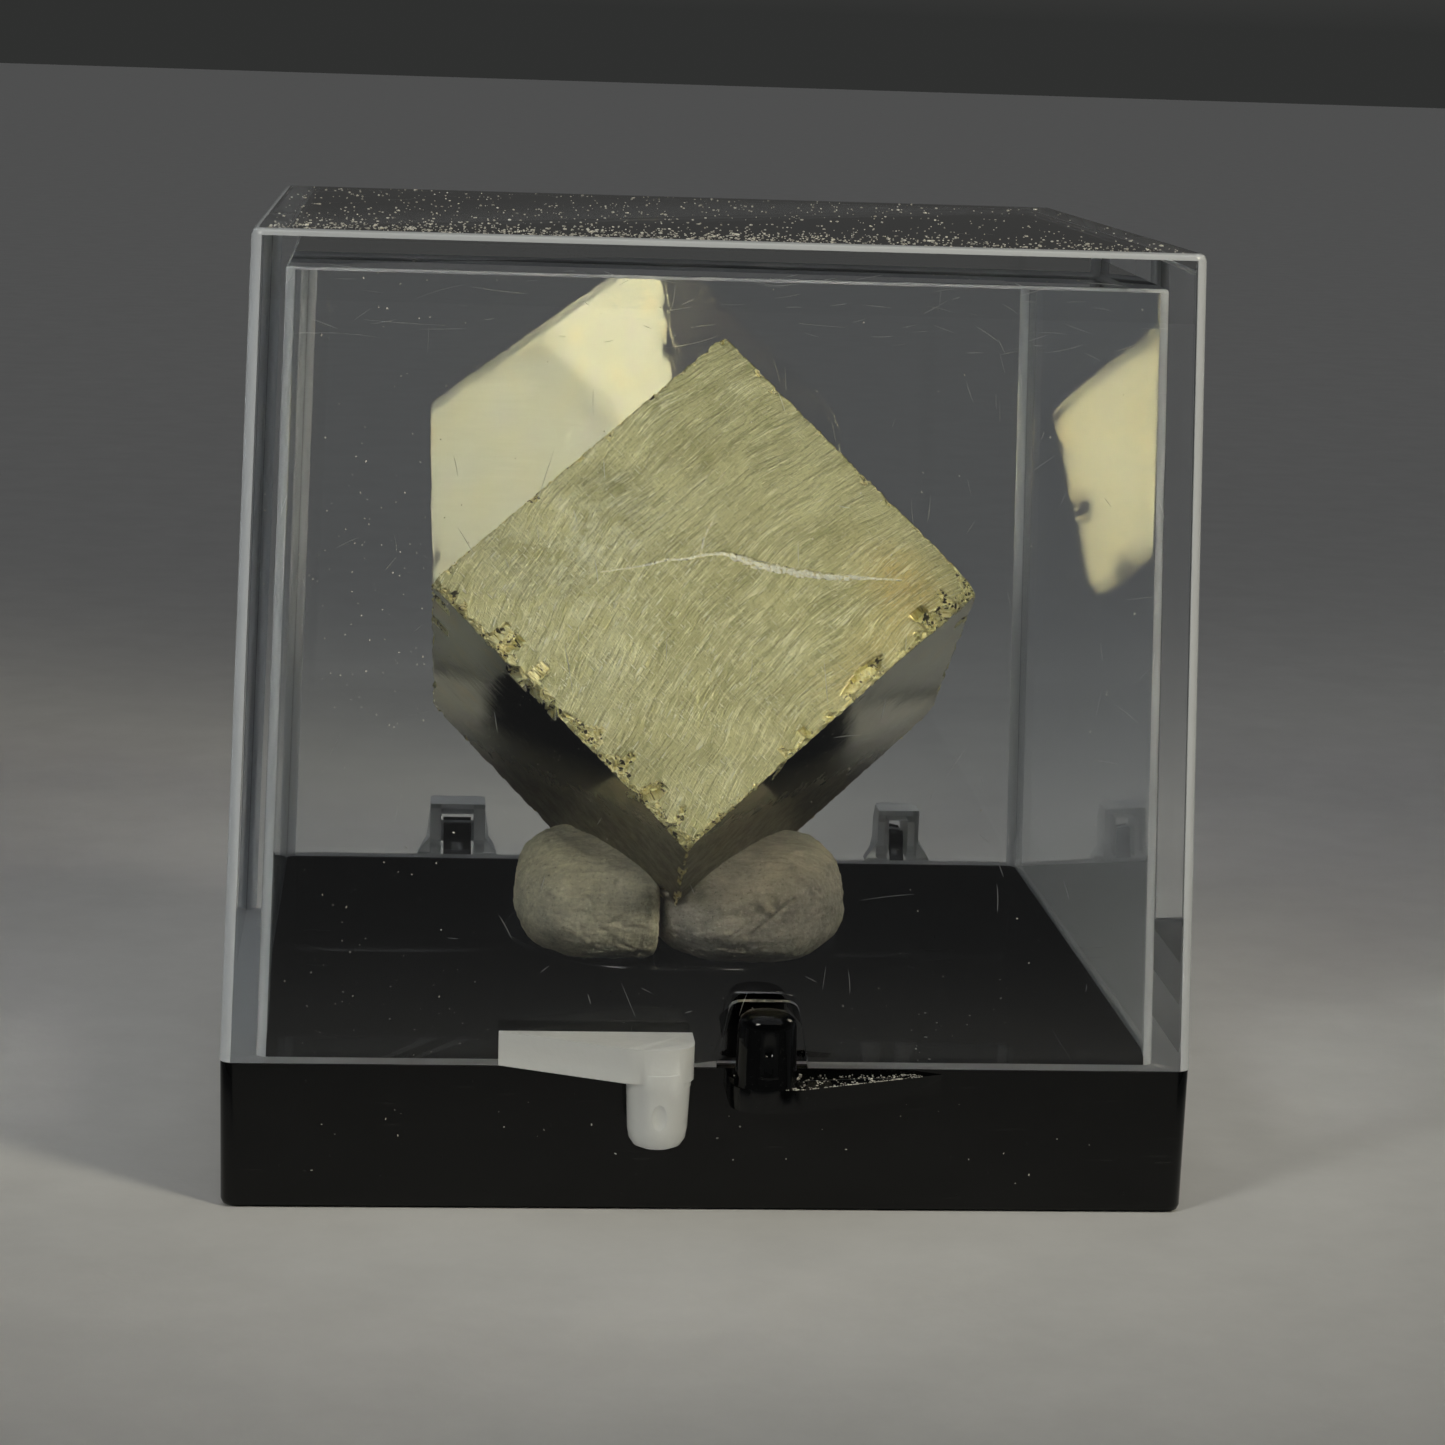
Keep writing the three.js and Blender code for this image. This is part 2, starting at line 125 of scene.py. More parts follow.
def blend_colours(tree, share, first, second):
    """The second colour laid over the first by a share from 0 to 1."""
    mix = add(tree, "Mix", data_type="RGBA")
    for key, value in (("Factor", share), ("A", first), ("B", second)):
        socket = [s for s in mix.inputs if s.name == key and s.enabled][0]
        if isinstance(value, bpy.types.NodeSocket):
            tree.links.new(value, socket)
        elif key == "Factor":
            socket.default_value = value
        else:
            socket.default_value = (*value, 1.0)
    return [s for s in mix.outputs if s.enabled][0]


def sums(tree, operation, first, second):
    """One sum of two values, or of a value and a number."""
    return add(tree, "Math", {0: first, 1: second}, operation=operation).outputs[0]


def grain(
    tree, place, stretch, detail=2.0, rough=0.55, turn=(0, 0, 0), shift=(0, 0, 0), kind="Noise",
    **more
):
    """A noise pattern. Stretch is its repeats in a unit, one number or one per direction."""
    if not isinstance(stretch, tuple):
        stretch = (stretch, stretch, stretch)
    mapped = add(
        tree, "Mapping", {"Vector": place, "Scale": stretch, "Rotation": turn, "Location": shift}
    ).outputs[0]
    if kind == "Noise":
        return add(
            tree, "TexNoise",
            {"Vector": mapped, "Scale": 1.0, "Detail": detail, "Roughness": rough, **more}
        ).outputs["Fac"]
    return add(tree, "TexVoronoi", {"Vector": mapped, "Scale": 1.0, **more}).outputs["Distance"]


def relief(tree, bsdf, height, depth, strength=1.0):
    """Fine relief, as deep as this many millimetres."""
    bump = add(tree, "Bump", {"Height": height, "Distance": depth * MM, "Strength": strength})
    tree.links.new(bump.outputs[0], bsdf.inputs["Normal"])
    return bump


def piece(name, mesh, materials, body, replaces=()):
    """A finished piece at the origin, with its materials, its body and the node it stands for."""
    o = bpy.data.objects.new(name, mesh)
    bpy.context.scene.collection.objects.link(o)
    for m in materials:
        mesh.materials.append(m)
    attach(o, body)
    if replaces:
        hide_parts(*replaces)
    return o


def mesh_from(bm, name):
    mesh = bpy.data.meshes.new(name)
    bm.to_mesh(mesh)
    bm.free()
    return mesh


def rumple(points, size, octaves=3, seed=0.0):
    """Smooth noise from -1 to 1 at each point, with bumps of about this size."""
    shift = Vector((seed * 3.1, seed * 1.7 + 5.0, seed * 2.3 - 2.0))
    return np.array([noise.fractal(Vector(p) / size + shift, 1.0, 2.0, octaves) for p in points])


# ---------------------------------------------------------------- finishes

def pyrite_front():
    """The rubbed front face: a dull brassy metal covered in fine curved hair scratches, with
    painted highlights along them and painted glints in small flecks.
    """
    material, tree, bsdf = finish("pyrite_rubbed")
    hair = add(tree, "Attribute", attribute_name="hair").outputs["Vector"]
    place = add(tree, "Attribute", attribute_name="crystal_mm").outputs["Vector"]
    amber = add(tree, "Attribute", attribute_name="amber").outputs["Fac"]
    pale = add(tree, "Attribute", attribute_name="pale").outputs["Fac"]

    cloud = grain(tree, place, 0.55, detail=5, rough=0.6)
    patch = grain(tree, place, 2.4, detail=5, rough=0.7, shift=(3, 1, 0))
    speckle = grain(tree, place, 11, detail=3, rough=0.7, shift=(6, 2, 0))
    long_hair = grain(tree, hair, (0.8, 13, 1), detail=2.5, rough=0.6)
    short_hair = grain(tree, hair, (1.9, 17, 1), detail=2, rough=0.6, shift=(7, 3, 0))
    steep_hair = grain(
        tree, hair, (14, 1.7, 1), detail=2, rough=0.55, shift=(1, 9, 0), turn=(0, 0, 0.5)
    )
    flat_hair = grain(
        tree, hair, (13, 1.5, 1), detail=2, rough=0.55, shift=(4, 2, 0), turn=(0, 0, -0.75)
    )
    fleck = grain(tree, hair, (1.3, 8.5, 1), kind="Voronoi", shift=(5, 5, 0), Randomness=1.0)
    fleck_across = grain(
        tree, hair, (8.0, 1.6, 1), kind="Voronoi", shift=(2, 8, 0), turn=(0, 0, 0.6), Randomness=1.0
    )

    low = span(tree, add(tree, "SeparateXYZ", {"Vector": hair}).outputs["X"], -4.0, 4.0, 0.25, 1.0)
    light = span(tree, long_hair, 0.575, 0.625)
    light_short = span(tree, short_hair, 0.59, 0.64)
    dark = span(tree, long_hair, 0.46, 0.39)
    crossing = sums(
        tree, "MAXIMUM", span(tree, steep_hair, 0.60, 0.65), span(tree, flat_hair, 0.61, 0.66)
    )
    # Painted glints: small flecks lightened towards near white, and also raised a little in the
    # relief.
    fleck_glint = sums(tree, "MULTIPLY", span(tree, fleck, 0.30, 0.20), span(tree, patch, 0.49, 0.54))
    fleck_glint_across = sums(
        tree, "MULTIPLY", span(tree, fleck_across, 0.26, 0.16), span(tree, patch, 0.50, 0.44)
    )
    fleck_glint = sums(tree, "MULTIPLY", sums(tree, "MAXIMUM", fleck_glint, fleck_glint_across), low)
    # The hair scratches: real in the relief and roughness, and lightened in colour as a painted
    # highlight along them.
    scratch_and_highlight = sums(
        tree, "ADD", sums(tree, "MULTIPLY", light, 0.55), sums(tree, "MULTIPLY", light_short, 0.55)
    )
    scratch_and_highlight = sums(
        tree, "ADD", scratch_and_highlight, sums(tree, "MULTIPLY", crossing, sums(tree, "MULTIPLY", low, 0.4))
    )
    scratch_and_highlight = sums(tree, "MULTIPLY", scratch_and_highlight, span(tree, patch, 0.36, 0.56, 0.35, 1.1))

    tone = blend_colours(
        tree, span(tree, cloud, 0.35, 0.65), (0.46, 0.435, 0.195), (0.60, 0.57, 0.28)
    )
    tone = blend_colours(tree, span(tree, patch, 0.34, 0.66, 0.0, 0.5), tone, (0.70, 0.665, 0.35))
    tone = blend_colours(
        tree, sums(tree, "MULTIPLY", pale, span(tree, patch, 0.42, 0.58, 0.0, 0.85)), tone,
        (0.76, 0.75, 0.50)
    )
    tone = blend_colours(
        tree, sums(tree, "MULTIPLY", amber, span(tree, patch, 0.30, 0.62, 0.35, 0.9)), tone,
        (0.70, 0.52, 0.17)
    )
    tone = blend_colours(tree, sums(tree, "MULTIPLY", dark, 0.5), tone, (0.28, 0.26, 0.115))
    tone = blend_colours(tree, span(tree, speckle, 0.45, 0.35, 0.0, 0.6), tone, (0.24, 0.22, 0.095))
    # Painted highlight along the scratches, then painted glints in the flecks.
    tone = blend_colours(tree, span(tree, scratch_and_highlight, 0.0, 0.8, 0.0, 0.9), tone, (1.0, 0.96, 0.64))
    tone = blend_colours(tree, sums(tree, "MULTIPLY", fleck_glint, 0.9), tone, (1.0, 0.98, 0.78))
    tree.links.new(tone, bsdf.inputs["Base Color"])
    bsdf.inputs["Metallic"].default_value = 1.0
    dull = span(tree, cloud, 0.3, 0.7, 0.42, 0.35)
    tree.links.new(
        sums(tree, "SUBTRACT", dull, sums(tree, "MULTIPLY", scratch_and_highlight, 0.05)),
        bsdf.inputs["Roughness"]
    )
    height = sums(
        tree, "ADD", sums(tree, "SUBTRACT", scratch_and_highlight, sums(tree, "MULTIPLY", dark, 0.5)), fleck_glint
    )
    height = sums(tree, "ADD", height, sums(tree, "MULTIPLY", patch, 0.6))
    relief(tree, bsdf, height, 0.013)
    return material


def pyrite_side():
    """The other faces: bright, nearly mirror smooth, with faint growth lines and specks, and
    painted shade: a dark dull film towards the putty."""
    material, tree, bsdf = finish("pyrite_mirror")
    place = add(tree, "Attribute", attribute_name="crystal_mm").outputs["Vector"]
    cloud = grain(tree, place, 0.35, detail=4, rough=0.6)
    growth = grain(tree, place, (0.12, 3.4, 3.4), detail=3, rough=0.6, shift=(2, 0, 4))
    specks = grain(tree, place, 3.2, kind="Voronoi", Randomness=1.0)
    film = grain(tree, place, 2.0, detail=5, rough=0.7, shift=(8, 2, 1))
    dot = sums(tree, "MULTIPLY", span(tree, specks, 0.13, 0.06), span(tree, film, 0.50, 0.56))
    tone = blend_colours(tree, span(tree, cloud, 0.3, 0.7), (0.63, 0.57, 0.31), (0.70, 0.655, 0.41))
    tone = blend_colours(tree, span(tree, growth, 0.56, 0.70, 0.0, 0.35), tone, (0.45, 0.38, 0.18))
    blotch = grain(tree, place, 0.75, detail=4, rough=0.65, shift=(1, 5, 9))
    tone = blend_colours(tree, span(tree, blotch, 0.52, 0.66, 0.0, 0.7), tone, (0.76, 0.60, 0.26))
    tone = blend_colours(tree, span(tree, blotch, 0.44, 0.34, 0.0, 0.6), tone, (0.66, 0.54, 0.42))
    tone = blend_colours(tree, dot, tone, (0.80, 0.76, 0.55))
    # Painted shade: the lower faces near the putty are darkened, dulled and made less metallic, in
    # place of the shade that falls there.
    painted_shade = add(tree, "Attribute", attribute_name="painted_shade").outputs["Fac"]
    painted_shade = sums(tree, "MULTIPLY", painted_shade, span(tree, film, 0.3, 0.6, 0.75, 1.0))
    tone = blend_colours(tree, painted_shade, tone, (0.10, 0.08, 0.05))
    tree.links.new(tone, bsdf.inputs["Base Color"])
    tree.links.new(
        sums(tree, "SUBTRACT", 1.0, sums(tree, "MULTIPLY", painted_shade, 0.8)), bsdf.inputs["Metallic"]
    )
    bsdf.inputs["Specular IOR Level"].default_value = 0.2
    dull = add(tree, "Attribute", attribute_name="dull").outputs["Fac"]
    rough = sums(
        tree, "ADD", span(tree, film, 0.35, 0.75, 0.045, 0.11), sums(tree, "MULTIPLY", dull, 0.09)
    )
    rough = sums(tree, "ADD", rough, sums(tree, "MULTIPLY", painted_shade, 0.35))
    tree.links.new(
        sums(tree, "ADD", rough, sums(tree, "MULTIPLY", dot, 0.4)), bsdf.inputs["Roughness"]
    )
    relief(tree, bsdf, sums(tree, "ADD", growth, sums(tree, "MULTIPLY", dot, 1.5)), 0.003)
    return material


def pyrite_break():
    """Fresh broken pyrite in the chips, the pit and the crack: bright, brassy and glittering, with
    painted shade in the gaps between crumbs and a painted whitish highlight along the crack.
    """
    material, tree, bsdf = finish("pyrite_broken")
    place = add(tree, "Attribute", attribute_name="crystal_mm").outputs["Vector"]
    crack_highlight = add(tree, "Attribute", attribute_name="crack").outputs["Fac"]
    crumb = grain(tree, place, 9, detail=3, rough=0.7)
    crystals = grain(tree, place, 6, kind="Voronoi", Randomness=1.0)
    tone = blend_colours(tree, span(tree, crumb, 0.36, 0.60), (0.78, 0.68, 0.27), (1.0, 0.95, 0.60))
    # Painted shade: dark gaps between the crumbs.
    gap_shade = grain(tree, place, 5.5, detail=3, rough=0.6, shift=(3, 3, 3))
    tone = blend_colours(tree, span(tree, gap_shade, 0.42, 0.38), tone, (0.08, 0.065, 0.03))
    # Painted highlight: the crack is whitened here and made less metallic below.
    tone = blend_colours(
        tree, sums(tree, "MULTIPLY", crack_highlight, span(tree, crumb, 0.34, 0.48)), tone, (1.0, 0.98, 0.82)
    )
    tree.links.new(tone, bsdf.inputs["Base Color"])
    tree.links.new(span(tree, crumb, 0.3, 0.7, 0.50, 0.30), bsdf.inputs["Roughness"])
    tree.links.new(
        sums(tree, "SUBTRACT", 0.75, sums(tree, "MULTIPLY", crack_highlight, 0.6)), bsdf.inputs["Metallic"]
    )
    relief(tree, bsdf, sums(tree, "ADD", crumb, crystals), 0.05)
    return material


def putty_finish(name, light, dark, streak_turn):
    """Dry mounting putty, smeared by a thumb: matt, streaked and pitted, with painted shade in the
    pits.
    """
    material, tree, bsdf = finish(name)
    place = add(tree, "TexCoord").outputs["Object"]
    cloud = grain(tree, place, 0.9 / MM, detail=5, rough=0.6)
    smear = grain(
        tree, place, (0.55 / MM, 5.0 / MM, 5.0 / MM), detail=3, rough=0.6, turn=streak_turn
    )
    fine = grain(tree, place, 7 / MM, detail=5, rough=0.8)
    pits = grain(tree, place, 4.6 / MM, kind="Voronoi", Randomness=1.0)
    # The pits: sunk in the relief, and painted nearly black as painted shade.
    pit_and_shade = span(tree, pits, 0.13, 0.05)
    tone = blend_colours(tree, span(tree, cloud, 0.35, 0.65), dark, light)
    tone = blend_colours(
        tree, span(tree, smear, 0.50, 0.72, 0.0, 0.3), tone, tuple(min(1, c * 1.45) for c in light)
    )
    tone = blend_colours(
        tree, span(tree, smear, 0.42, 0.30, 0.0, 0.35), tone, tuple(c * 0.55 for c in dark)
    )
    tone = blend_colours(
        tree, span(tree, fine, 0.46, 0.32, 0.0, 0.6), tone, tuple(c * 0.5 for c in dark)
    )
    tone = blend_colours(
        tree, span(tree, fine, 0.56, 0.68, 0.0, 0.5), tone, tuple(min(1, c * 1.6) for c in light)
    )
    tone = blend_colours(tree, sums(tree, "MULTIPLY", pit_and_shade, 0.7), tone, (0.02, 0.02, 0.017))
    tree.links.new(tone, bsdf.inputs["Base Color"])
    tree.links.new(span(tree, fine, 0.3, 0.7, 0.62, 0.85), bsdf.inputs["Roughness"])
    bsdf.inputs["Specular IOR Level"].default_value = 0.35
    height = sums(
        tree, "ADD", sums(tree, "MULTIPLY", smear, 0.6), sums(tree, "MULTIPLY", fine, 1.3)
    )
    height = sums(tree, "SUBTRACT", height, pit_and_shade)
    relief(tree, bsdf, height, 0.05)
    return material


def black_plastic():
    """Glossy black moulded polystyrene with fine wiping scratches."""
    material, tree, bsdf = finish("black_polystyrene")
    place = add(tree, "TexCoord").outputs["Object"]
    cloud = grain(tree, place, 0.25 / MM, detail=3)
    wipe = grain(tree, place, (0.35 / MM, 11 / MM, 6 / MM), detail=2, turn=(0, 0, 0.5))
    wipe_across = grain(
        tree, place, (9 / MM, 0.4 / MM, 6 / MM), detail=2, turn=(0, 0, 0.25), shift=(3, 3, 3)
    )
    scratch = sums(
        tree, "MAXIMUM", span(tree, wipe, 0.66, 0.76), span(tree, wipe_across, 0.67, 0.78)
    )
    tone = blend_colours(
        tree, span(tree, cloud, 0.3, 0.7), (0.0012, 0.0014, 0.0016), (0.0028, 0.003, 0.0032)
    )
    tone = blend_colours(tree, sums(tree, "MULTIPLY", scratch, 0.3), tone, (0.03, 0.03, 0.03))
    tree.links.new(tone, bsdf.inputs["Base Color"])
    tree.links.new(
        sums(
            tree, "ADD", span(tree, cloud, 0.3, 0.7, 0.03, 0.07),
            sums(tree, "MULTIPLY", scratch, 0.12)
        ),
        bsdf.inputs["Roughness"]
    )
    bsdf.inputs["IOR"].default_value = 1.5
    bsdf.inputs["Specular IOR Level"].default_value = 0.32
    relief(tree, bsdf, scratch, 0.002)
    return material


def clear_plastic(name, roughness, tint, relief_depth=0.0, clearness=1.0):
    """Clear moulded polystyrene, slightly blue through its edges."""
    material, tree, bsdf = finish(name)
    bsdf.inputs["Base Color"].default_value = (*tint, 1.0)
    bsdf.inputs["Transmission Weight"].default_value = clearness
    bsdf.inputs["Roughness"].default_value = roughness
    bsdf.inputs["IOR"].default_value = 1.57
    if relief_depth:
        place = add(tree, "TexCoord").outputs["Object"]
        flow = grain(tree, place, 900, detail=4, rough=0.6)
        relief(tree, bsdf, flow, relief_depth)
    return material


def dust_finish():
    material, tree, bsdf = finish("dust")
    place = add(tree, "TexCoord").outputs["Object"]
    shade = grain(tree, place, 2500, detail=2)
    tone = blend_colours(
        tree, span(tree, shade, 0.35, 0.65), (0.42, 0.40, 0.35), (0.85, 0.83, 0.76)
    )
    tree.links.new(tone, bsdf.inputs["Base Color"])
    bsdf.inputs["Roughness"].default_value = 0.7
    return material


def paper_floor():
    material, tree, bsdf = finish("pale_paper")
    place = add(tree, "TexCoord").outputs["Object"]
    pulp = grain(tree, place, 260, detail=5, rough=0.65)
    tone = blend_colours(tree, span(tree, pulp, 0.3, 0.7), (0.74, 0.74, 0.73), (0.80, 0.80, 0.79))
    tree.links.new(tone, bsdf.inputs["Base Color"])
    bsdf.inputs["Roughness"].default_value = 0.85
    relief(tree, bsdf, pulp, 0.05)
    return material


# ---------------------------------------------------------------- the pyrite cube

# Lines and an outline on the front face, in millimetres along its two edges, with half widths.
CRACK = [(-2.77, 2.32), (-2.01, 1.16), (-1.60, 0.37), (-1.17, -0.16), (-0.93, -0.64),
         (-0.53, -1.20), (-0.08, -1.48), (0.73, -1.89), (1.58, -2.50), (2.63, -3.40),
         (3.58, -4.39), (4.32, -5.11)]
CRACK_WIDTH = [0.014, 0.02, 0.028, 0.035, 0.045, 0.05, 0.10, 0.13, 0.125, 0.09, 0.035, 0.012]
BRANCH = [(-1.59, -1.83), (-1.32, -1.15), (-0.99, -0.69)]
BRANCH_WIDTH = [0.012, 0.025, 0.02]
PIT = [(5.92, -0.68), (5.62, -1.81), (5.80, -2.75), (6.16, -2.20), (6.16, -1.06)]


def near_line(xy, line, widths):
    """How far each point is from a broken line, and the line's half width at the nearest place."""
    best = np.full(len(xy), 1e9)
    wide = np.zeros(len(xy))
    for (a, b), (wa, wb) in zip(zip(line, line[1:]), zip(widths, widths[1:])):
        a, b = np.array(a), np.array(b)
        t = np.clip(((xy - a) @ (b - a)) / ((b - a) @ (b - a)), 0, 1)
        d = np.linalg.norm(xy - a - t[:, None] * (b - a), axis=1)
        closer = d < best
        best[closer] = d[closer]
        wide[closer] = (wa + t * (wb - wa))[closer]
    return best, wide


def inside_outline(xy, outline):
    """How far inside a convex outline each point is: positive inside."""
    centre = np.mean(outline, axis=0)
    depth = np.full(len(xy), 1e9)
    for a, b in zip(outline, outline[1:] + outline[:1]):
        a, b = np.array(a), np.array(b)
        n = np.array([-(b - a)[1], (b - a)[0]])
        n = n / np.linalg.norm(n)
        if (centre - a) @ n < 0:
            n = -n
        depth = np.minimum(depth, (xy - a) @ n)
    return depth


def chip_seeds(rng):
    """Where the edges are chipped: a point, the broken plane's direction, depth and reach."""
    seeds = []

    def along_edge(axis, signs, spacing, depth_at, tilt=0.6, reach=1.0):
        half = CUBE_HALF[axis]
        other = [i for i in range(3) if i != axis]
        t = -half
        while t < half:
            depth = depth_at(t) * rng.uniform(0.65, 1.25)
            p = np.zeros(3)
            p[axis] = t
            n = np.zeros(3)
            for i, s in zip(other, signs):
                p[i] = s * CUBE_HALF[i]
                n[i] = s
            n = n / np.linalg.norm(n) + rng.normal(0, tilt * 0.45, 3)
            seeds.append((p, n / np.linalg.norm(n), depth, reach))
            t += spacing * rng.uniform(0.5, 1.5)

    # Front face, lower left edge: crumbled all along, most in the middle.
    along_edge(0, (1, -1), 0.20, lambda t: 0.09 + 0.08 * math.exp(-(t / 3.6) ** 2), 0.9)
    # Front face, lower right edge: thin, heavy towards the right corner, and around one chip.
    along_edge(
        1, (1, -1), 0.22,
        lambda t: (0.04 + 0.10 * (t < -3.9) + 0.07 * math.exp(-((t - 1.5) / 0.7) ** 2)
                   + 0.05 * (t > 5.2)),
        1.0
    )
    # Front face, upper edges: crisp, with a few nicks.
    along_edge(
        1, (-1, -1), 0.35, lambda t: 0.010 + 0.03 * (-6.6 < t < -4.9) + 0.03 * (2.0 < t < 2.6), 0.6
    )
    along_edge(
        0, (-1, -1), 0.35,
        lambda t: 0.010 + 0.03 * (-3.4 < t < -2.5) + 0.03 * (-1.2 < t < -0.9) + 0.04 * (t > 4.6),
        0.6
    )
    # The edges between the other faces.
    for axis, signs in (
        (2, (1, 1)), (2, (-1, 1)), (2, (1, -1)), (2, (-1, -1)), (0, (1, 1)), (0, (-1, 1)),
        (1, (1, 1)), (1, (-1, 1))
    ):
        along_edge(axis, signs, 0.5, lambda t: 0.012 + 0.02 * rng.random(), 0.7)
    return seeds


def corner_breaks():
    """Larger flat breaks that take off a corner: a point in the plane, its direction and reach."""
    a, b, c = CUBE_HALF
    return [
        ((a, -b, -c), (1.0, -0.75, -0.8), 0.34, 1.2),
        ((a, -b + 0.35, -c), (1.0, -0.1, -1.0), 0.24, 1.0),
        ((a - 0.5, -b, -c), (0.25, -0.5, -1.0), 0.17, 0.8),
        ((a, -b + 1.15, -c), (0.8, 0.25, -1.0), 0.22, 0.8),
        ((a, b, -c), (0.8, 0.9, -1.0), 0.30, 0.9),
        ((a - 0.3, b, -c), (0.1, 1.0, -0.8), 0.24, 0.7),
        ((-a, b, -c), (-0.6, 1.0, -0.8), 0.22, 0.7),
        ((-a, -b, -c), (-0.8, -0.8, -0.8), 0.10, 0.5),
        ((a, b, c), (1, 1, 1), 0.3, 1.0),
        ((-a, -b, c), (-1, -1, 1), 0.25, 1.0),
        ((a, -b, c), (1, -1, 1), 0.35, 1.0),
        ((-a, b, c), (-1, 1, 1), 0.2, 0.9),
    ]


def pyrite_cube():
    rng = np.random.default_rng(11)
    bm = bmesh.new()
    bmesh.ops.create_cube(bm, size=2.0)
    for axis, cuts in ((0, 137), (1, 147), (2, 53)):
        along = [e for e in bm.edges if abs((e.verts[0].co - e.verts[1].co)[axis]) > 1e-6]
        bmesh.ops.subdivide_edges(bm, edges=along, cuts=cuts, use_grid_fill=True)
    for v in bm.verts:
        for i, pull in enumerate((0.40, 0.40, 0.72)):
            t = v.co[i]
            v.co[i] = (t + pull * math.sin(math.pi * t) / math.pi) * CUBE_HALF[i]

    # A finer net along the crack.
    front = [f for f in bm.faces if f.normal.z < -0.9]
    middle = np.array([f.calc_center_median()[:2] for f in front])
    far, _ = near_line(middle, CRACK, CRACK_WIDTH)
    far_branch, _ = near_line(middle, BRANCH, BRANCH_WIDTH)
    close = [f for f, d, e in zip(front, far, far_branch) if min(d, e) < 0.34]
    bmesh.ops.subdivide_edges(
        bm, edges=list({e for f in close for e in f.edges}), cuts=2, use_grid_fill=True
    )

    bm.verts.ensure_lookup_table()
    start = np.array([v.co[:] for v in bm.verts])
    p = start.copy()
    a, b, c = CUBE_HALF
    on_front = p[:, 2] < -c + 1e-4

    # Faces are very slightly uneven, so that what they reflect wavers.
    p += ((rumple(start, 3.2, 2, seed=1.0) * 0.006)[:, None] * np.sign(start)
          * (np.abs(start) > CUBE_HALF - 1e-4))

    fresh = np.zeros(len(p))
    edge_gap = np.sort(CUBE_HALF - np.abs(start), axis=1)[:, 1]
    band = np.where(edge_gap < 0.9)[0]

    def cut_back(index, plane_point, direction):
        over = (p[index] - plane_point) @ direction
        hit = over > 0
        p[index[hit]] -= over[hit, None] * direction
        fresh[index[hit]] = np.maximum(fresh[index[hit]], np.clip(over[hit] / 0.012, 0, 1))

    for point, direction, depth, reach in corner_breaks():
        n = np.array(direction, float)
        n /= np.linalg.norm(n)
        near = band[np.linalg.norm(start[band] - np.array(point), axis=1) < reach]
        cut_back(near, np.array(point) - n * depth, n)

    seeds = chip_seeds(rng)
    spots = np.array([s[0] for s in seeds]) + rng.normal(0, 0.10, (len(seeds), 3))
    nearest = np.concatenate([
        np.argmin(np.linalg.norm(start[block, None, :] - spots[None], axis=2), axis=1)
        for block in np.array_split(band, 60)
    ])
    for i, (point, n, depth, reach) in enumerate(seeds):
        cut_back(band[nearest == i], point - n * depth, n)

    # A second, smaller crumbling on what has already broken.
    crumbs = band[fresh[band] > 0]
    p[crumbs] += rng.normal(0, 0.020, (len(crumbs), 3)) * fresh[crumbs, None]

    # The pit near the lower right edge: steep on its inner side, with a rough floor.
    xy = start[:, :2]
    depth = np.where(on_front, inside_outline(xy, PIT), -1)
    sunk = np.clip(depth / 0.06, 0, 1)
    p[:, 2] += sunk * (0.20 + 0.07 * rumple(start, 0.25, 2, seed=4.0))
    fresh = np.maximum(fresh, (sunk > 0.05) * 1.0)

    # The crack: a narrow jagged step with glittering broken pieces in it.
    d, wide = near_line(xy, CRACK, CRACK_WIDTH)
    d2, wide2 = near_line(xy, BRANCH, BRANCH_WIDTH)
    use = d2 - wide2 < d - wide
    d, wide = np.where(use, d2, d), np.where(use, wide2, wide)
    ragged = wide * (1.0 + 0.9 * rumple(start, 0.22, 3, seed=7.0)) + 0.012
    crack = np.where(on_front, np.clip((ragged - d) / 0.03 + 0.5, 0, 1), 0)
    p[:, 2] += (crack * (0.03 + 0.045 * rumple(start, 0.13, 2, seed=9.0))
                * np.clip(wide / 0.1, 0.2, 1))
    fresh = np.maximum(fresh, crack)

    # The hidden lowest corner is broken off flat in the putty.
    to_mm = p @ AXES.T + CUBE_CENTRE
    low = CUBE_FOOT - to_mm[:, 2]
    to_mm[:, 2] = np.maximum(to_mm[:, 2], CUBE_FOOT)
    fresh = np.maximum(fresh, low > 0)

    for v, q in zip(bm.verts, to_mm * MM):
        v.co = q
    bm.verts.index_update()
    for f in bm.faces:
        ids = [v.index for v in f.verts]
        if fresh[ids].mean() > 0.3:
            f.material_index = BROKEN
            f.smooth = False
        else:
            f.material_index = RUBBED if start[ids, 2].max() < -c + 1e-4 else MIRROR
            f.smooth = True
    mesh = mesh_from(bm, "pyrite_cube")

